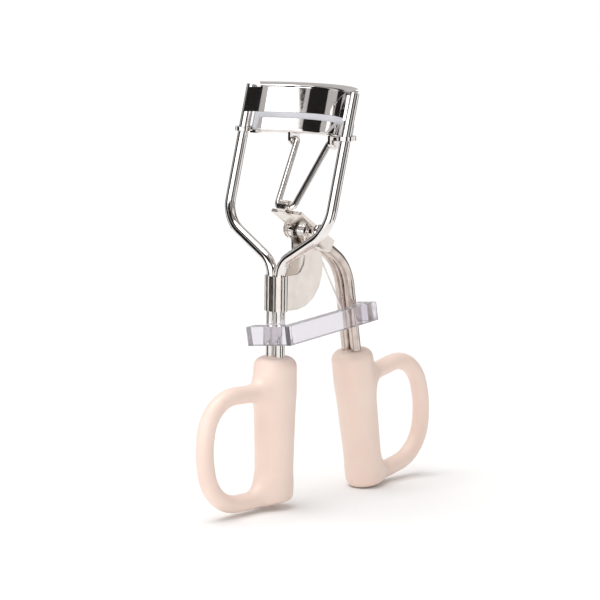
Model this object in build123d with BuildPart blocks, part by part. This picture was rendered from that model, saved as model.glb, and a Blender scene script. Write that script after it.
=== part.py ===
from build123d import *
import os
from math import asin, cos, degrees, radians, sin, sqrt, tan

# Eyelash curler, in millimetres.
# Origin: middle of the flat foot of the front handle. +Z runs up the front handle,
# +X across the jaws (the pivot axis), +Y from the front handle to the rear handle.

# --- driving dimensions: wire frame ---
WIRE_R = 1.45
PAIR_PITCH = 3.0
GUIDE_SPACING = 36.5
GUIDE_LEAN = 14.7
NECK_Z = 64.3
SHOULDER_Z = 74.6
GUIDE_TOP_Z = 110.2
NECK_BEND_R = 6.0
SHOULDER_BEND_R = 9.5
SOCKET_DEPTH = 20.0

# --- driving dimensions: handles ---
HANDLE_LENGTH = 39.0
LOOP_R = 2.4
REAR_FOOT = (37.83, -1.3)
REAR_LEAN = 10.0
REAR_PITCH = 3.3

# --- driving dimensions: jaws ---
JAW_R = 20.6
JAW_HALF_CHORD = 16.4
JAW_SHEET = 0.75
UPPER_JAW_Z = 103.2
UPPER_JAW_TOP_Z = 110.2
CHANNEL_WALL = 0.6
CHANNEL_INNER_W = 2.6
CHANNEL_FLOOR_Z = 97.6
CHANNEL_TOP_Z = 101.6
CHANNEL_HALF_ANGLE = 47.0
EAR_Z = 98.0
EAR_T = 1.1
GUIDE_CLEARANCE = 0.08
PAD_GAP = 0.05
PAD_HALF_ANGLE = 50.0

# --- driving dimensions: lever linkage ---
PIVOT = (11.0, 71.9)
LEVER_SLOPE = 33.5
PLATE_HALF_W = 5.3
PLATE_T = 0.9
PLATE_TOP = 1.28
TIP_REACH = 10.5
CURL_GAP = 0.07
CURL_RISE = 1.63
LINK_WIRE_R = 0.85
LINK_TOP = (14.2, 96.1)
LINK_TOP_X = 5.8
LINK_FOOT_X = 2.9
PIN_R = 1.1
PIN_CLEARANCE = 0.05
LUG_CLEARANCE = 0.36

# --- driving dimensions: bracket ---
BRACKET_SHEET = 0.55
COLLAR_Z = (51.4, 60.9)
WING_X = (1.95, 2.6)

# --- driving dimensions: storage clip ---
CLIP_HEIGHT = 5.1
CLIP_Z = 45.5
CLIP_YAW = 5.0
CLIP_ROLL = 6.8
CLIP_PITCH = 3.0

os.makedirs("parts", exist_ok=True)

lean_tan = tan(radians(GUIDE_LEAN))
guide_dir = Vector(0, sin(radians(GUIDE_LEAN)), cos(radians(GUIDE_LEAN)))


def guide_y(z):
    """Y of the guide rods' centre line at height z."""
    return (z - SHOULDER_Z) * lean_tan


def jaw_plane(z):
    """Horizontal plane at height z, its origin at the centre of the jaw arcs."""
    arc_back = sqrt(JAW_R**2 - JAW_HALF_CHORD**2)
    return Plane(origin=(0, guide_y(z) - arc_back, z))


def save(part, name):
    part.label = name
    export_step(part, f"parts/{name}.step")


def arc_strip(inner_r, outer_r, half_angle):
    """Draw a curved strip about the sketch's origin, centred on +Y."""
    reach = 3 * outer_r
    wedge_x = reach * sin(radians(half_angle))
    wedge_y = reach * cos(radians(half_angle))
    Circle(outer_r)
    Circle(inner_r, mode=Mode.SUBTRACT)
    Polygon((0, 0), (wedge_x, wedge_y), (-wedge_x, wedge_y), align=None, mode=Mode.INTERSECT)


def along_guides(height):
    """Length along the leaning guide rods that climbs the given height."""
    return height / cos(radians(GUIDE_LEAN))


# --- lever frame: u runs rearward down the lever, v is normal to it, upward ---
slope = radians(LEVER_SLOPE)


def lever_plane(x):
    """Side plane of the lever at the given X, origin on the pivot axis."""
    return Plane(origin=(x, *PIVOT), x_dir=(0, cos(slope), -sin(slope)), z_dir=(1, 0, 0))


def lever_point(x, u, v):
    y = PIVOT[0] + u * cos(slope) + v * sin(slope)
    z = PIVOT[1] - u * sin(slope) + v * cos(slope)
    return Vector(x, y, z)


curl_inner = LINK_WIRE_R + CURL_GAP
curl_centre = (-TIP_REACH, CURL_RISE)
link_foot = lever_point(0, *curl_centre)

# --- guide wires: bent rods that carry the upper jaw and guide the lower one ---
for side, side_name in ((-1, "left"), (1, "right")):
    inner_x = side * PAIR_PITCH / 2
    outer_x = side * GUIDE_SPACING / 2
    with BuildPart() as guide_wire:
        with BuildLine() as path:
            FilletPolyline(
                (inner_x, 0, HANDLE_LENGTH - SOCKET_DEPTH),
                (inner_x, 0, NECK_Z),
                (outer_x, 0, SHOULDER_Z),
                (outer_x, guide_y(GUIDE_TOP_Z), GUIDE_TOP_Z),
                radius=[NECK_BEND_R, SHOULDER_BEND_R],
            )
        with BuildSketch(Plane(origin=path.line @ 0, z_dir=path.line % 0)):
            Circle(WIRE_R)
        sweep()
    save(guide_wire.part, f"guide_wire_{side_name}")

# --- upper jaw: curved band with a flared top rim, brazed between the guide rods ---
BAND_END_ANGLE = 59.0
FLANGE_HALF_ANGLE = 50.0
FLANGE_REACH = 2.4
FLANGE_RISE = 0.8
CREASE_R = 0.7
BAND_DROP = 0.5

with BuildPart() as upper_jaw:
    with BuildSketch(jaw_plane(UPPER_JAW_Z)):
        arc_strip(JAW_R, JAW_R + JAW_SHEET, BAND_END_ANGLE)
    band_height = UPPER_JAW_TOP_Z - UPPER_JAW_Z - BAND_DROP
    extrude(amount=along_guides(band_height), dir=guide_dir)
    rim_origin = jaw_plane(UPPER_JAW_TOP_Z).origin
    rim_start = radians(90 - FLANGE_HALF_ANGLE)
    rim_plane = Plane(
        origin=rim_origin,
        x_dir=(cos(rim_start), sin(rim_start), 0),
        z_dir=(sin(rim_start), -cos(rim_start), 0),
    )
    with BuildSketch(rim_plane):
        with BuildLine():
            FilletPolyline(
                (JAW_R, -0.8),
                (JAW_R, 0.1),
                (JAW_R + FLANGE_REACH, FLANGE_RISE),
                radius=CREASE_R,
            )
            Polyline(
                (JAW_R + FLANGE_REACH, FLANGE_RISE),
                (JAW_R + FLANGE_REACH + 0.2, FLANGE_RISE - 0.7),
                (JAW_R + JAW_SHEET, -0.5),
                (JAW_R + JAW_SHEET, -0.8),
                (JAW_R, -0.8),
            )
        make_face()
    revolve(axis=Axis(rim_origin, (0, 0, 1)), revolution_arc=2 * FLANGE_HALF_ANGLE)
    # cups in the band's ends that seat on the guide rods
    for side in (-1, 1):
        rod_foot = (side * GUIDE_SPACING / 2, guide_y(UPPER_JAW_Z - 2), UPPER_JAW_Z - 2)
        with BuildSketch(Plane(origin=rod_foot, z_dir=guide_dir)):
            Circle(WIRE_R)
        extrude(amount=14, mode=Mode.SUBTRACT)
        trim_x = side * (GUIDE_SPACING / 2 + 4)
        with BuildSketch(Plane.XY.offset(UPPER_JAW_Z - 1)):
            with Locations((trim_x, guide_y(UPPER_JAW_Z))):
                Rectangle(8, 20)
        extrude(amount=14, mode=Mode.SUBTRACT)
save(upper_jaw.part, "upper_jaw")

# --- lower jaw: curved trough, an ear on each guide rod, two lugs for the link ---
TROUGH_INNER_R = JAW_R - 0.1
TROUGH_OUTER_R = TROUGH_INNER_R + CHANNEL_INNER_W
FLOOR_T = 0.8
EAR_R = 2.3
LUG_T = 0.8
LUG_X = LINK_TOP_X + LINK_WIRE_R + 0.1
LUG_R = 1.95
FLOOR_EDGE_R = 1.0

with BuildPart() as lower_jaw:
    with BuildSketch(jaw_plane(CHANNEL_FLOOR_Z)):
        arc_strip(
            TROUGH_INNER_R - CHANNEL_WALL, TROUGH_OUTER_R + CHANNEL_WALL, CHANNEL_HALF_ANGLE
        )
    extrude(amount=along_guides(CHANNEL_TOP_Z - CHANNEL_FLOOR_Z), dir=guide_dir)
    long_edges = lower_jaw.edges().group_by(Axis.Z)[0].sort_by(SortBy.LENGTH)[-2:]
    fillet(long_edges, radius=FLOOR_EDGE_R)
    for side in (-1, 1):
        ear_x = side * GUIDE_SPACING / 2
        with BuildSketch(Plane.XY.offset(CHANNEL_FLOOR_Z)):
            with Locations((ear_x - side * 2.4, guide_y(EAR_Z) + 1.4)):
                Rectangle(3.8, 2.6)
        extrude(amount=FLOOR_T)
        with BuildSketch(Plane.XY.offset(EAR_Z)):
            with Locations((ear_x, guide_y(EAR_Z)), (ear_x, guide_y(EAR_Z) + 0.9)):
                Circle(EAR_R)
        extrude(amount=EAR_T)
    with BuildSketch(jaw_plane(CHANNEL_FLOOR_Z + FLOOR_T)):
        arc_strip(TROUGH_INNER_R, TROUGH_OUTER_R, PAD_HALF_ANGLE + 1)
    extrude(amount=8, dir=guide_dir, mode=Mode.SUBTRACT)
    for side in (-1, 1):
        ear_x = side * GUIDE_SPACING / 2
        rod_foot = (ear_x, guide_y(EAR_Z - 3), EAR_Z - 3)
        with BuildSketch(Plane(origin=rod_foot, z_dir=guide_dir)):
            Circle(WIRE_R + GUIDE_CLEARANCE)
        extrude(amount=9, mode=Mode.SUBTRACT)
        lug_face = Plane(origin=(side * LUG_X, *LINK_TOP), x_dir=(0, 1, 0), z_dir=(side, 0, 0))
        with BuildSketch(lug_face):
            Circle(LUG_R)
            with Locations((0, side * 0.95)):
                Rectangle(2 * LUG_R, 1.9)
        extrude(amount=LUG_T)
        with BuildSketch(lug_face.offset(-1)):
            Circle(LINK_WIRE_R + LUG_CLEARANCE)
        extrude(amount=LUG_T + 2, mode=Mode.SUBTRACT)
save(lower_jaw.part, "lower_jaw")

# --- pad: silicone strip seated in the trough ---
with BuildPart() as silicone_pad:
    with BuildSketch(jaw_plane(CHANNEL_FLOOR_Z + FLOOR_T + PAD_GAP)):
        arc_strip(TROUGH_INNER_R + PAD_GAP, TROUGH_OUTER_R - PAD_GAP, PAD_HALF_ANGLE)
    pad_height = UPPER_JAW_Z - CHANNEL_FLOOR_Z - FLOOR_T - 2 * PAD_GAP
    extrude(amount=along_guides(pad_height), dir=guide_dir)
save(silicone_pad.part, "silicone_pad")

# --- link: one V-shaped wire from the lugs to the lever's tip ---
PIN_END_X = LUG_X + LUG_T + 0.6
LINK_BEND_R = 1.2
foot_yz = (link_foot.Y, link_foot.Z)

with BuildPart() as link_wire:
    with BuildLine() as path:
        FilletPolyline(
            (-PIN_END_X, *LINK_TOP),
            (-LINK_TOP_X, *LINK_TOP),
            (-LINK_FOOT_X, *foot_yz),
            (LINK_FOOT_X, *foot_yz),
            (LINK_TOP_X, *LINK_TOP),
            (PIN_END_X, *LINK_TOP),
            radius=LINK_BEND_R,
        )
    with BuildSketch(Plane(origin=path.line @ 0, z_dir=path.line % 0)):
        Circle(LINK_WIRE_R)
    sweep()
save(link_wire.part, "link_wire")

# --- lever: pressed plate with a curled tip, two pivot arms and a saddle for the wires ---
PLATE_REACH = 9.3
PLATE_END = 3.1
TONGUE_HALF_W = 1.5
WINDOW_HALF_W = 3.2
BUSH_NOTCH = 2.15
CURL_T = 0.85
ARM_T = 0.8
ARM_END = 6.8
ARM_DEPTH = -2.25
EAR_ROUND = 2.05
SADDLE_START = 4.3
SADDLE_T = 0.7
CURL_SWEEP = 235

with BuildPart() as lever_plate:
    # side arms round the pivot
    for inner_face in (-PLATE_HALF_W, PLATE_HALF_W - ARM_T):
        with BuildSketch(lever_plane(inner_face)):
            Circle(EAR_ROUND)
            with BuildLine():
                Polyline(
                    (-PLATE_REACH + 2, PLATE_TOP),
                    (-PLATE_REACH + 2, PLATE_TOP - PLATE_T),
                    (-3.0, PLATE_TOP - PLATE_T - 0.1),
                    (-1.4, -1.5),
                    (0, -EAR_ROUND),
                    (3.0, ARM_DEPTH),
                    (ARM_END, ARM_DEPTH),
                    (ARM_END, PLATE_TOP),
                    close=True,
                )
            make_face()
        extrude(amount=ARM_T)
    # plate, its notch round the bracket and its two tip slots
    plate_face = Plane(
        origin=lever_point(0, 0, PLATE_TOP - PLATE_T),
        x_dir=(1, 0, 0),
        z_dir=(0, sin(slope), cos(slope)),
    )
    with BuildSketch(plate_face):
        with Locations((0, -(PLATE_REACH + PLATE_END) / 2)):
            Rectangle(2 * PLATE_HALF_W, PLATE_REACH - PLATE_END)
        for side in (-1, 1):
            strip_x = side * (PLATE_HALF_W + WINDOW_HALF_W) / 2
            strip_w = PLATE_HALF_W - WINDOW_HALF_W
            with Locations((strip_x, -(PLATE_END + BUSH_NOTCH) / 2)):
                Rectangle(strip_w, PLATE_END - BUSH_NOTCH)
            with Locations((strip_x, (ARM_END + BUSH_NOTCH) / 2)):
                Rectangle(strip_w, ARM_END - BUSH_NOTCH)
    extrude(amount=PLATE_T)
    # curled tongue that holds the link's crossbar
    with BuildSketch(lever_plane(-TONGUE_HALF_W)):
        with BuildLine():
            inner = CenterArc(curl_centre, curl_inner, -90, -CURL_SWEEP)
            outer = CenterArc(curl_centre, curl_inner + CURL_T, -90, -CURL_SWEEP)
            Line(inner @ 0, outer @ 0)
            Line(inner @ 1, outer @ 1)
        make_face()
        with BuildLine():
            Polyline(
                (-TIP_REACH, CURL_RISE - curl_inner - CURL_T / 2),
                (-PLATE_REACH, PLATE_TOP),
                (-PLATE_REACH + 1, PLATE_TOP),
                (-PLATE_REACH + 1, PLATE_TOP - PLATE_T),
                (-TIP_REACH, CURL_RISE - curl_inner - CURL_T),
                close=True,
            )
        make_face()
    extrude(amount=2 * TONGUE_HALF_W)
    # saddle under the rear wires
    with BuildSketch(lever_plane(-PLATE_HALF_W)):
        with Locations(((SADDLE_START + ARM_END) / 2, ARM_DEPTH + SADDLE_T / 2)):
            Rectangle(ARM_END - SADDLE_START, SADDLE_T)
    extrude(amount=2 * PLATE_HALF_W)
    # rivet hole
    with BuildSketch(lever_plane(-PLATE_HALF_W - 1)):
        Circle(PIN_R + PIN_CLEARANCE)
    extrude(amount=2 * PLATE_HALF_W + 2, mode=Mode.SUBTRACT)
save(lever_plate.part, "lever_plate")

# --- rear wires: from the lever's saddle down into the rear handle ---
WIRE_START = 4.4
REAR_BEND_R = 14.0
rear_tan = tan(radians(REAR_LEAN))
rear_up = Vector(0, -sin(radians(REAR_LEAN)), cos(radians(REAR_LEAN)))
rear_foot = Vector(0, *REAR_FOOT)
# corner where the lever's line meets the rear handle's line
slope_tan = tan(slope)
drop_sum = PIVOT[1] + slope_tan * PIVOT[0] - REAR_FOOT[1]
corner_y = (REAR_FOOT[0] - rear_tan * drop_sum) / (1 - rear_tan * slope_tan)
corner_z = PIVOT[1] - slope_tan * (corner_y - PIVOT[0])
socket_floor = rear_foot + rear_up * (HANDLE_LENGTH - SOCKET_DEPTH)
wire_start = lever_point(0, WIRE_START, 0)

for side, side_name in ((-1, "left"), (1, "right")):
    wire_x = side * REAR_PITCH / 2
    with BuildPart() as rear_wire:
        with BuildLine() as path:
            FilletPolyline(
                (wire_x, wire_start.Y, wire_start.Z),
                (wire_x, corner_y, corner_z),
                (wire_x, socket_floor.Y, socket_floor.Z),
                radius=REAR_BEND_R,
            )
        with BuildSketch(Plane(origin=path.line @ 0, z_dir=path.line % 0)):
            Circle(WIRE_R)
        sweep()
    save(rear_wire.part, f"rear_wire_{side_name}")

# --- pivot bracket: collar crimped round the front wires, with two wings to the pivot ---
WING_EAR_R = 2.5
collar_r = WIRE_R + BRACKET_SHEET
FIT_GAP = 0.02

with BuildPart() as pivot_bracket:
    with BuildSketch(Plane.XY.offset(COLLAR_Z[0])):
        with Locations((-PAIR_PITCH / 2, 0), (PAIR_PITCH / 2, 0)):
            Circle(collar_r)
        with Locations((-PAIR_PITCH / 2, 0), (PAIR_PITCH / 2, 0)):
            Circle(WIRE_R + FIT_GAP, mode=Mode.SUBTRACT)
        Rectangle(0.9, 2 * collar_r, mode=Mode.SUBTRACT)
        with Locations((0, -(collar_r + 1.3) / 2)):
            Rectangle(1.6, collar_r - 1.3)
    extrude(amount=COLLAR_Z[1] - COLLAR_Z[0])
    for inner_face in (-WING_X[1], WING_X[0]):
        with BuildSketch(Plane(origin=(inner_face, 0, 0), x_dir=(0, 1, 0), z_dir=(1, 0, 0))):
            with BuildLine():
                Polyline(
                    (1.5, COLLAR_Z[0]),
                    (6.0, COLLAR_Z[0]),
                    (9.2, 52.1),
                    (12.0, 53.8),
                    (14.3, 56.6),
                    (15.4, 59.8),
                    (15.7, 62.8),
                    (15.2, 65.7),
                    (12.3, 67.7),
                    (PIVOT[0], PIVOT[1]),
                    (PIVOT[0] - WING_EAR_R, PIVOT[1]),
                    (8.8, 66.6),
                    (8.2, 63.4),
                    (6.9, 61.6),
                    (5.6, COLLAR_Z[1]),
                    (1.5, COLLAR_Z[1]),
                    close=True,
                )
            make_face()
            with Locations(PIVOT):
                Circle(WING_EAR_R)
            with Locations(PIVOT):
                Circle(PIN_R + FIT_GAP, mode=Mode.SUBTRACT)
        extrude(amount=WING_X[1] - WING_X[0])
save(pivot_bracket.part, "pivot_bracket")

# --- rivet and its two spacer bushes ---
HEAD_R = 2.3
HEAD_H = 0.7
BUSH_R = 1.9
SIDE_PLAY = 0.06
head_x = PLATE_HALF_W + SIDE_PLAY

with BuildPart() as pivot_rivet:
    with BuildSketch(lever_plane(0)):
        Circle(PIN_R)
    extrude(amount=head_x, both=True)
    for side in (-1, 1):
        face = Plane(origin=(side * head_x, *PIVOT), x_dir=(0, 1, 0), z_dir=(side, 0, 0))
        with BuildSketch(face):
            Circle(HEAD_R)
        extrude(amount=HEAD_H)
    rims = pivot_rivet.edges().filter_by(GeomType.CIRCLE)
    fillet([rims.sort_by(Axis.X)[0], rims.sort_by(Axis.X)[-1]], radius=0.6)
save(pivot_rivet.part, "pivot_rivet")

for start, side_name in ((-PLATE_HALF_W + ARM_T, "left"), (WING_X[1], "right")):
    bush_length = PLATE_HALF_W - ARM_T - WING_X[1]
    with BuildPart() as bush:
        with BuildSketch(lever_plane(start + SIDE_PLAY)):
            Circle(BUSH_R)
            Circle(PIN_R + FIT_GAP, mode=Mode.SUBTRACT)
        extrude(amount=bush_length - 2 * SIDE_PLAY)
    save(bush.part, f"spacer_bush_{side_name}")

# --- return spring: close-wound coil on the rivet, one leg down to the rear wires ---
SPRING_WIRE_R = 0.26
COIL_R = 1.72
COIL_TURNS = 6
COIL_PITCH = 0.5
LEG_KNEE = (18.6, 62.4)
LEG_END = (28.0, 46.83)

with BuildPart() as return_spring:
    with BuildSketch(Plane(origin=(0, *PIVOT), x_dir=(1, 0, 0), z_dir=(0, 0, 1))):
        for turn in range(COIL_TURNS):
            with Locations(((turn - (COIL_TURNS - 1) / 2) * COIL_PITCH, COIL_R)):
                Circle(SPRING_WIRE_R)
    revolve(axis=Axis((0, *PIVOT), (1, 0, 0)))
    knee_u = LEG_KNEE[0] - PIVOT[0]
    knee_v = LEG_KNEE[1] - PIVOT[1]
    knee_reach = sqrt(knee_u**2 + knee_v**2)
    # tangent point under the coil for a leg that runs to the knee
    tangent_angle = asin(COIL_R / knee_reach)
    along_y = knee_u / knee_reach
    along_z = knee_v / knee_reach
    tangent_y = PIVOT[0] + COIL_R * (along_y * sin(tangent_angle) + along_z * cos(tangent_angle))
    tangent_z = PIVOT[1] + COIL_R * (along_z * sin(tangent_angle) - along_y * cos(tangent_angle))
    with BuildLine() as path:
        FilletPolyline(
            (0, tangent_y, tangent_z), (0, *LEG_KNEE), (0, *LEG_END), radius=6
        )
    with BuildSketch(Plane(origin=path.line @ 0, z_dir=path.line % 0)):
        Circle(SPRING_WIRE_R)
    sweep()
save(return_spring.part, "return_spring")

# --- handles: moulded grip with a finger loop, one upright and one mirrored and leaning ---
handles = (
    ("front_handle", Vector(0, 0, 0), Vector(0, -1, 0), Vector(0, 0, 1), PAIR_PITCH),
    ("rear_handle", rear_foot, Vector(0, rear_up.Z, -rear_up.Y), rear_up, REAR_PITCH),
)

for name, foot, outward, upward, pitch in handles:
    side_plane = Plane(origin=foot, x_dir=outward, z_dir=outward.cross(upward))
    with BuildPart() as handle:
        with BuildSketch(side_plane):
            with BuildLine():
                foot_line = Line((0, 0), (3.4, 0))
                lower = ThreePointArc(foot_line @ 1, (4.6, 0.5), (5.1, 1.7))
                side_line = ThreePointArc(lower @ 1, (5.35, 14), (5.8, 33))
                upper = ThreePointArc(side_line @ 1, (5.1, 37.3), (3.0, HANDLE_LENGTH))
                top_line = Line(upper @ 1, (0, HANDLE_LENGTH))
                Line(top_line @ 1, (0, 0))
            make_face()
        revolve(axis=Axis(foot, upward))
        with BuildLine(side_plane) as loop_path:
            FilletPolyline(
                (1.0, 30.2), (25.4, 30.6), (27.1, 16.0), (24.3, 1.2), (9.0, 0.9), (1.0, 3.6),
                radius=[10.5, 20.0, 12.0, 8.0],
            )
        with BuildSketch(Plane(origin=loop_path.line @ 0, z_dir=loop_path.line % 0)):
            Circle(LOOP_R)
        sweep()
        socket = Plane(
            origin=foot + upward * (HANDLE_LENGTH - SOCKET_DEPTH - 0.1),
            x_dir=(1, 0, 0),
            z_dir=upward,
        )
        with BuildSketch(socket):
            with Locations((-pitch / 2, 0), (pitch / 2, 0)):
                Circle(WIRE_R + FIT_GAP)
        extrude(amount=SOCKET_DEPTH + 5, mode=Mode.SUBTRACT)
    save(handle.part, name)

# --- storage clip: clear C-shaped block that holds the handles shut ---
CLIP_LEFT = -5.1
CLIP_RIGHT = 9.4
CLIP_FRONT = -5.9
CLIP_FRONT_INNER = -2.5
CLIP_WEB_INNER = 6.2
CLIP_REAR_INNER = 31.7
CLIP_REAR = 33.9
CLIP_TIP = 2.8

yaw = radians(CLIP_YAW)
roll = radians(CLIP_ROLL)
pitch_angle = radians(CLIP_PITCH)
across = Vector(cos(yaw), sin(yaw), tan(roll)).normalized()
to_rear = Vector(-sin(yaw), cos(yaw), tan(pitch_angle))
clip_up = across.cross(to_rear).normalized()
clip_plane = Plane(origin=(0, 0, CLIP_Z), x_dir=across, z_dir=clip_up)

with BuildPart() as storage_clip:
    with BuildSketch(clip_plane.offset(-CLIP_HEIGHT / 2)) as clip_outline:
        with BuildLine():
            Polyline(
                (CLIP_LEFT, CLIP_FRONT),
                (CLIP_RIGHT, CLIP_FRONT),
                (CLIP_RIGHT, CLIP_REAR),
                (CLIP_TIP, CLIP_REAR),
                (CLIP_TIP, CLIP_REAR_INNER),
                (CLIP_WEB_INNER, CLIP_REAR_INNER),
                (CLIP_WEB_INNER, CLIP_FRONT_INNER),
                (CLIP_LEFT, CLIP_FRONT_INNER),
                close=True,
            )
        make_face()
    extrude(amount=CLIP_HEIGHT)
    upright = storage_clip.edges().filter_by(Axis((0, 0, 0), clip_up))
    fillet(upright.sort_by_distance(clip_plane.from_local_coords((CLIP_TIP, CLIP_REAR_INNER, 0)))[0], 1.0)
save(storage_clip.part, "storage_clip")
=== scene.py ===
import bpy
import math
import numpy as np
from mathutils import Matrix, Vector


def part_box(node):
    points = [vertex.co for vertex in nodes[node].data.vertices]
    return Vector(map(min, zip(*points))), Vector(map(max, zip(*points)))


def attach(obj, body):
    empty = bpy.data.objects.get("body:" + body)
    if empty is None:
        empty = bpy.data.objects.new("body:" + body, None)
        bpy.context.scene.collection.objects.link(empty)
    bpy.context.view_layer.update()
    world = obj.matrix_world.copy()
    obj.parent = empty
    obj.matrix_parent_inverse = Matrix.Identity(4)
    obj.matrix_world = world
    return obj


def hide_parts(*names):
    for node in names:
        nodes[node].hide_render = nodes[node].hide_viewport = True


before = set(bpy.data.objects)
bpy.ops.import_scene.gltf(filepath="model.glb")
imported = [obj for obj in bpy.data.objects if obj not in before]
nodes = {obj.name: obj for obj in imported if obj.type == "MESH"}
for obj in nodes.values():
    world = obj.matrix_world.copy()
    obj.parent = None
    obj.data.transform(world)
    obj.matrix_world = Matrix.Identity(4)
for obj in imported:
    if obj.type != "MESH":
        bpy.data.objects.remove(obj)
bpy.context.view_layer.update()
MM = 0.001
NOISE_LOW, NOISE_HIGH = 0.3, 0.7  # where nearly all of a noise texture's values lie
RELIEF_DEPTH = 0.05 * MM
SUBSURFACE_DEPTH = 0.002
DARK = (0.012, 0.011, 0.01)


# ---------- materials ----------
def principled(name, color, metallic=0.0, roughness=0.5, **extra):
    mat = bpy.data.materials.new(name)
    mat.use_nodes = True
    shader = mat.node_tree.nodes["Principled BSDF"]
    shader.inputs["Base Color"].default_value = (*color, 1.0)
    shader.inputs["Metallic"].default_value = metallic
    shader.inputs["Roughness"].default_value = roughness
    for key, value in extra.items():
        shader.inputs[key.replace("_", " ")].default_value = value
    return mat


def add_node(tree, kind, **inputs):
    node = tree.nodes.new(kind)
    for key, value in inputs.items():
        node.inputs[key.replace("_", " ")].default_value = value
    return node


def grain(mat, size, roughness, bump=0.0, stretch=(1, 1, 1), tones=None, tone_size=8.0):
    """Fine surface texture: noise of a given grain size (mm) drives roughness, bump and tone."""
    tree = mat.node_tree
    link = tree.links.new
    shader = tree.nodes["Principled BSDF"]
    coords = add_node(tree, "ShaderNodeTexCoord")
    mapping = add_node(tree, "ShaderNodeMapping", Scale=stretch)
    link(coords.outputs["Object"], mapping.inputs["Vector"])
    fine = add_node(tree, "ShaderNodeTexNoise", Scale=1 / (size * MM), Detail=3.0)
    link(mapping.outputs["Vector"], fine.inputs["Vector"])
    low, high = roughness
    spread = add_node(
        tree, "ShaderNodeMapRange", From_Min=NOISE_LOW, From_Max=NOISE_HIGH, To_Min=low, To_Max=high
    )
    link(fine.outputs["Fac"], spread.inputs["Value"])
    link(spread.outputs["Result"], shader.inputs["Roughness"])
    if bump:
        relief = add_node(tree, "ShaderNodeBump", Strength=bump, Distance=RELIEF_DEPTH)
        link(fine.outputs["Fac"], relief.inputs["Height"])
        link(relief.outputs["Normal"], shader.inputs["Normal"])
    if tones:
        broad = add_node(tree, "ShaderNodeTexNoise", Scale=1 / (tone_size * MM), Detail=2.0)
        link(coords.outputs["Object"], broad.inputs["Vector"])
        ramp = add_node(tree, "ShaderNodeValToRGB")
        for element, place, tone in zip(ramp.color_ramp.elements, (NOISE_LOW, NOISE_HIGH), tones):
            element.position = place
            element.color = (*tone, 1.0)
        link(broad.outputs["Fac"], ramp.inputs["Fac"])
        link(ramp.outputs["Color"], shader.inputs["Base Color"])
    return mat


CHROME_TONE_SIZE = 3.0  # mm


def chrome(name, light, dark, roughness, size=0.5, bump=0.0, stretch=(1, 1, 1)):
    mat = principled(name, light, metallic=1.0)
    return grain(mat, size, roughness, bump, stretch, (dark, light), CHROME_TONE_SIZE)


chrome_wire = chrome(
    "chrome_wire", (0.84, 0.81, 0.79), (0.74, 0.71, 0.69), (0.045, 0.10), 0.4, 0.04
)
# rear wires: chrome whose colour has the peach handles' warm reflection and darker shade painted in
chrome_painted_warm_reflection = chrome(
    "chrome_painted_warm_reflection", (0.70, 0.62, 0.57), (0.50, 0.43, 0.39), (0.07, 0.15), 0.35, 0.10
)
chrome_sheet = chrome("chrome_sheet", (0.82, 0.79, 0.775), (0.75, 0.72, 0.70), (0.03, 0.075), 0.8)
# pressed plate keeps a faint rolling grain under its plating
chrome_satin = chrome(
    "chrome_satin", (0.78, 0.725, 0.68), (0.71, 0.655, 0.61), (0.14, 0.26), 0.25, 0.08, (1, 1, 0.12)
)
peach = principled(
    "peach",
    (0.87, 0.70, 0.61),
    Subsurface_Weight=0.15,
    Subsurface_Scale=SUBSURFACE_DEPTH,
    Subsurface_Radius=(1.0, 0.5, 0.35),
)
peach_tones = ((0.85, 0.675, 0.585), (0.89, 0.725, 0.64))
grain(peach, 0.3, (0.30, 0.42), 0.10, tones=peach_tones, tone_size=14.0)
silicone = principled("silicone", (0.73, 0.735, 0.77), Transmission_Weight=0.25, IOR=1.41)
silicone_tones = ((0.70, 0.705, 0.75), (0.76, 0.765, 0.80))
grain(silicone, 0.25, (0.28, 0.44), 0.15, tones=silicone_tones, tone_size=4.0)
clear = principled("clear", (0.82, 0.795, 0.85), Transmission_Weight=0.93, IOR=1.36)
grain(clear, 1.2, (0.03, 0.09), 0.08)

finish_of = {
    "front_handle": peach,
    "rear_handle": peach,
    "guide_wire_left": chrome_wire,
    "guide_wire_right": chrome_wire,
    "rear_wire_left": chrome_painted_warm_reflection,
    "rear_wire_right": chrome_painted_warm_reflection,
    "upper_jaw": chrome_sheet,
    "lower_jaw": chrome_sheet,
    "silicone_pad": silicone,
    "link_wire": chrome_wire,
    "lever_plate": chrome_satin,
    "pivot_bracket": chrome_satin,
    "pivot_rivet": chrome_sheet,
    "spacer_bush_left": chrome_sheet,
    "spacer_bush_right": chrome_sheet,
    "return_spring": chrome_wire,
    "storage_clip": clear,
}
for name, mat in finish_of.items():
    mesh = nodes[name].data
    mesh.materials.clear()
    mesh.materials.append(mat)


# ---------- rounded edges on pressed and moulded pieces ----------
def soften(name, width):
    """Round the edges sharper than 40 degrees by a width in mm."""
    bevel = nodes[name].modifiers.new("edge", "BEVEL")
    bevel.width = width * MM
    bevel.segments = 3
    bevel.limit_method = "ANGLE"
    bevel.angle_limit = math.radians(40)
    bevel.harden_normals = False


for name, width in (
    ("upper_jaw", 0.12),
    ("lower_jaw", 0.12),
    ("lever_plate", 0.12),
    ("pivot_bracket", 0.08),
    ("silicone_pad", 0.3),
    ("storage_clip", 0.45),
):
    soften(name, width)


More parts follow.
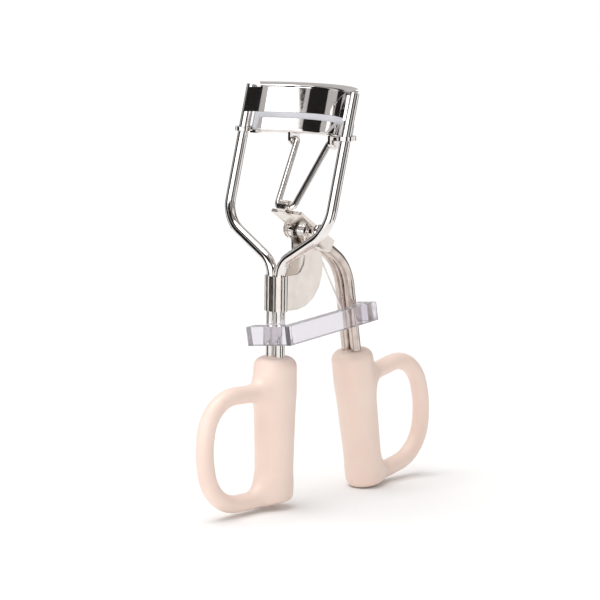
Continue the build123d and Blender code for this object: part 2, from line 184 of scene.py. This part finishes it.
# ---------- handles: one smooth skin over grip and finger loop, sizes in mm ----------
GRIP_LENGTH = 39.0
GRIP_RADIUS = ((0, 14, 33), (5.05, 5.35, 5.85))  # heights up the grip, radii there
GRIP_EDGE = ((0, 10, 30, 39), (1.3, 2.0, 2.6, 2.6))  # heights, rounding of the nearer end
LOOP_CORNERS = ((0.0, 29.8), (25.4, 30.6), (27.1, 16.0), (24.3, 1.2), (9.0, 0.9), (0.0, 3.6))
LOOP_BENDS = (10.5, 20.0, 12.0, 8.0)
LOOP_RADIUS = 2.4
LOOP_BLEND = 5.0  # fillet where the loop runs into the grip
SKIN_STEP = 0.42
SKIN_BOX = ((-7.5, 32.0), (-3.5, 41.0), (-7.5, 7.9))  # outward, up the grip, across
REAR_FOOT = (0, 37.83, -1.3)
REAR_LEAN = math.radians(10)


def rounded_path(points, radii):
    """Points along a polyline whose inner corners are rounded to the given radii."""
    path = [np.array(points[0], float)]
    for before, corner, after, radius in zip(points, points[1:], points[2:], radii):
        before, corner, after = (np.array(q, float) for q in (before, corner, after))
        d1 = (before - corner) / np.linalg.norm(before - corner)
        d2 = (after - corner) / np.linalg.norm(after - corner)
        half = math.acos(np.clip(d1 @ d2, -1, 1)) / 2
        bisector = (d1 + d2) / np.linalg.norm(d1 + d2)
        centre = corner + bisector * radius / math.sin(half)
        start = corner + d1 * radius / math.tan(half)
        end = corner + d2 * radius / math.tan(half)
        for t in np.linspace(0, 1, 9):
            chord = start + (end - start) * t - centre
            path.append(centre + chord * radius / np.linalg.norm(chord))
    path.append(np.array(points[-1], float))
    return path


def handle_field(u, w, x):
    """Signed distance to the handle, mm: u outward, w up the grip, x across."""
    rho = np.sqrt(u**2 + x**2)
    grip_r = np.interp(w, *GRIP_RADIUS)
    edge_r = np.interp(w, *GRIP_EDGE)
    qa = rho - (grip_r - edge_r)
    qb = np.abs(w - GRIP_LENGTH / 2) - (GRIP_LENGTH / 2 - edge_r)
    outside = np.sqrt(np.maximum(qa, 0) ** 2 + np.maximum(qb, 0) ** 2)
    grip = outside + np.minimum(np.maximum(qa, qb), 0) - edge_r
    path = rounded_path(LOOP_CORNERS, LOOP_BENDS)
    loop = np.full(u.shape, 1e3)
    for a, b in zip(path, path[1:]):
        run = b - a
        t = np.clip(((u - a[0]) * run[0] + (w - a[1]) * run[1]) / (run @ run), 0, 1)
        gap = np.sqrt((u - a[0] - t * run[0]) ** 2 + (w - a[1] - t * run[1]) ** 2 + x**2)
        loop = np.minimum(loop, gap - LOOP_RADIUS)
    h = np.clip(0.5 + 0.5 * (loop - grip) / LOOP_BLEND, 0, 1)
    return loop * (1 - h) + grip * h - LOOP_BLEND * h * (1 - h)


def skin(values, start, step):
    """Surface-net mesh of a sampled field's zero surface: (vertices, quads)."""
    n = np.array(values.shape)
    total = np.zeros((*(n - 1), 3))
    count = np.zeros(n - 1)
    corners = [(i, j, k) for i in (0, 1) for j in (0, 1) for k in (0, 1)]
    for a in corners:
        for axis in range(3):
            if a[axis]:
                continue
            b = tuple(c + (d == axis) for d, c in enumerate(a))
            va = values[tuple(slice(c, m - 1 + c) for c, m in zip(a, n))]
            vb = values[tuple(slice(c, m - 1 + c) for c, m in zip(b, n))]
            cross = (va < 0) != (vb < 0)
            t = np.where(cross, va / np.where(cross, va - vb, 1), 0)
            for d in range(3):
                total[..., d] += np.where(cross, a[d] + (t if d == axis else 0), 0)
            count += cross
    active = count > 0
    index = np.full(active.shape, -1)
    index[active] = np.arange(active.sum())
    cells = np.argwhere(active)
    vertices = start + step * (cells + total[active] / count[active][:, None])
    quads = []
    for axis in range(3):
        o1, o2 = [d for d in range(3) if d != axis]
        low = [slice(1, -1)] * 3
        low[axis] = slice(0, -1)
        high = list(low)
        high[axis] = slice(1, None)
        v0, v1 = values[tuple(low)], values[tuple(high)]
        for flip in (False, True):
            mask = (v0 >= 0) & (v1 < 0) if flip else (v0 < 0) & (v1 >= 0)
            at = np.argwhere(mask)
            at[:, [o1, o2]] += 1
            ring = []
            for s1, s2 in ((0, 0), (1, 0), (1, 1), (0, 1)):
                cell = at.copy()
                cell[:, o1] -= s1
                cell[:, o2] -= s2
                ring.append(index[tuple(cell.T)])
            turned = flip != (axis == 1)
            quads.append(np.stack(ring[::-1] if turned else ring, axis=1))
    return vertices, np.concatenate(quads)


axes = [np.arange(low, high, SKIN_STEP) for low, high in SKIN_BOX]
field = handle_field(*np.meshgrid(*axes, indexing="ij"))
skin_points, skin_quads = skin(field, np.array([axis[0] for axis in axes]), SKIN_STEP)

for name, body, foot, outward, upward in (
    ("front_handle", "frame", (0, 0, 0), (0, -1, 0), (0, 0, 1)),
    (
        "rear_handle",
        "lever",
        REAR_FOOT,
        (0, math.cos(REAR_LEAN), math.sin(REAR_LEAN)),
        (0, -math.sin(REAR_LEAN), math.cos(REAR_LEAN)),
    ),
):
    across = np.cross(outward, upward)
    basis = np.array([outward, upward, across])
    points = (np.array(foot) + skin_points @ basis) * MM
    mesh = bpy.data.meshes.new(name + "_skin")
    mesh.from_pydata(points.tolist(), [], skin_quads.tolist())
    mesh.materials.append(peach)
    mesh.update()
    obj = bpy.data.objects.new(name + "_skin", mesh)
    bpy.context.collection.objects.link(obj)
    mesh.polygons.foreach_set("use_smooth", [True] * len(mesh.polygons))
    smooth = obj.modifiers.new("relax", "SMOOTH")
    smooth.iterations = 3
    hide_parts(name)
    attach(obj, body)


# ---------- return spring: wound coil and its long leg, sizes in mm ----------
SPRING_WIRE_RADIUS = 0.26
COIL_RADIUS = 1.72
COIL_WIDTH = 2.6
COIL_TURNS = 5.3
COIL_STEPS = 150
COIL_START = math.radians(-66)  # the leg leaves the coil's underside
PIVOT = Vector((0, 11.0, 71.9))
LEG_KNEE = Vector((0, 18.6, 62.4))
LEG_FOOT = Vector((0, 28.0, 46.83))


def spring_curve():
    pivot, knee, foot = PIVOT * MM, LEG_KNEE * MM, LEG_FOOT * MM
    radius = COIL_RADIUS * MM
    coil = []
    for i in range(COIL_STEPS + 1):
        t = i / COIL_STEPS
        angle = COIL_START + t * COIL_TURNS * 2 * math.pi
        x = COIL_WIDTH * (t - 0.5) * MM
        y = pivot.y + radius * math.cos(angle)
        z = pivot.z + radius * math.sin(angle)
        coil.append(Vector((x, y, z)))
    top = coil[0]
    leg = [foot, knee.lerp(foot, 0.12), knee, knee.lerp(top, 0.12), top.lerp(knee, 0.1)]
    curve = bpy.data.curves.new("return_spring_wire", "CURVE")
    curve.dimensions = "3D"
    curve.bevel_depth = SPRING_WIRE_RADIUS * MM
    curve.bevel_resolution = 4
    curve.use_fill_caps = True
    line = curve.splines.new("POLY")
    path = leg + coil
    line.points.add(len(path) - 1)
    for point, co in zip(line.points, path):
        point.co = (*co, 1)
    obj = bpy.data.objects.new("return_spring_wire", curve)
    bpy.context.collection.objects.link(obj)
    curve.materials.append(chrome_wire)
    return obj


spring = spring_curve()
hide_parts("return_spring")
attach(spring, "lever")

# ---------- stage: floor, studio cards, light; sizes in metres ----------
low = min(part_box("front_handle")[0].z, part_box("rear_handle")[0].z)
FLOOR_GAP = 0.0004
MIDDLE = (0, 0.012, 0.09)
STRIP_REACH = 0.2
STRIP_HEIGHT = 0.6
STRIPS = ((64, 22), (-43, 36), (112, 24), (-95, 22), (172, 20))  # azimuth, spread, degrees
FRONT_AZIMUTH = 12
FRONT_REACH = 1.6
FRONT_WIDTH = 2.0


def around(azimuth, reach, height):
    """The point at that reach and height on the side seen from that azimuth (degrees)."""
    a = math.radians(azimuth)
    return (math.sin(a) * reach, -math.cos(a) * reach, height)


def card(name, color, width, height, place, facing, glow=0.0):
    bpy.ops.mesh.primitive_plane_add(size=1)
    obj = bpy.context.object
    obj.name = name
    obj.scale = (width, height, 1)
    obj.location = place
    obj.rotation_mode = "QUATERNION"
    obj.rotation_quaternion = (Vector(facing) - Vector(place)).to_track_quat("Z", "Y")
    mat = principled(name, color, roughness=1.0)
    if glow:
        shader = mat.node_tree.nodes["Principled BSDF"]
        shader.inputs["Emission Color"].default_value = (*color, 1)
        shader.inputs["Emission Strength"].default_value = glow
    obj.data.materials.append(mat)
    return obj


def reflector(obj, lights=False):
    """Hide a card from the camera: it shows in reflections, and lights the part if asked."""
    obj.visible_camera = False
    obj.visible_transmission = False
    obj.visible_diffuse = lights
    obj.visible_shadow = False


card("floor", (0.93, 0.93, 0.93), 14, 14, (0, 0, low - FLOOR_GAP), (0, 0, 1))
strip_middle = low + STRIP_HEIGHT / 2
for azimuth, spread in STRIPS:
    place = around(azimuth, STRIP_REACH, strip_middle)
    width = 2 * STRIP_REACH * math.tan(math.radians(spread / 2))
    name = f"dark_{azimuth % 360}"
    reflector(card(name, DARK, width, STRIP_HEIGHT, place, (0, 0, strip_middle)))
place = around(FRONT_AZIMUTH, FRONT_REACH, 0.36)
white = card("white_front", (1, 1, 1), FRONT_WIDTH, 0.75, place, MIDDLE, glow=1.2)
reflector(white, lights=True)
place = around(FRONT_AZIMUTH, FRONT_REACH, 1.36)
reflector(card("dark_above_front", DARK, FRONT_WIDTH, 1.2, place, MIDDLE))

sun = bpy.data.lights.new("sun", "SUN")
sun.energy = 1.85
sun.angle = math.radians(50)
sun_obj = bpy.data.objects.new("sun", sun)
bpy.context.collection.objects.link(sun_obj)
sun_obj.rotation_mode = "QUATERNION"
sun_obj.rotation_quaternion = Vector((-0.12, -0.22, 1)).to_track_quat("Z", "Y")

world = bpy.data.worlds.new("studio")
world.use_nodes = True
world.node_tree.nodes["Background"].inputs["Color"].default_value = (1, 0.985, 0.975, 1)
world.node_tree.nodes["Background"].inputs["Strength"].default_value = 0.55
bpy.context.scene.world = world
bpy.context.scene.view_settings.view_transform = "Standard"

# ---------- camera ----------
VIEW_AZIMUTH, VIEW_ELEVATION, VIEW_ROLL = 42.0, 8.944, 0.782  # degrees
VIEW_DISTANCE = 0.7343
VIEW_TARGET = Vector((0, 0.00958, 0.05328))
LENS = 163.569
SENSOR_WIDTH = 36

azimuth, elevation, roll = map(math.radians, (VIEW_AZIMUTH, VIEW_ELEVATION, VIEW_ROLL))
back = Vector(around(VIEW_AZIMUTH, math.cos(elevation), math.sin(elevation)))
level = Vector((math.cos(azimuth), math.sin(azimuth), 0))
right = level * math.cos(roll) + back.cross(level) * math.sin(roll)
turn = Matrix((right, back.cross(right), back)).transposed()
cam = bpy.data.cameras.new("camera")
cam.lens = LENS
cam.sensor_width = SENSOR_WIDTH
cam.clip_start = 0.01
cam.clip_end = 60
camera = bpy.data.objects.new("camera", cam)
camera.rotation_mode = "QUATERNION"
camera.rotation_quaternion = turn.to_quaternion()
camera.location = VIEW_TARGET + back * VIEW_DISTANCE
bpy.context.collection.objects.link(camera)
bpy.context.scene.camera = camera
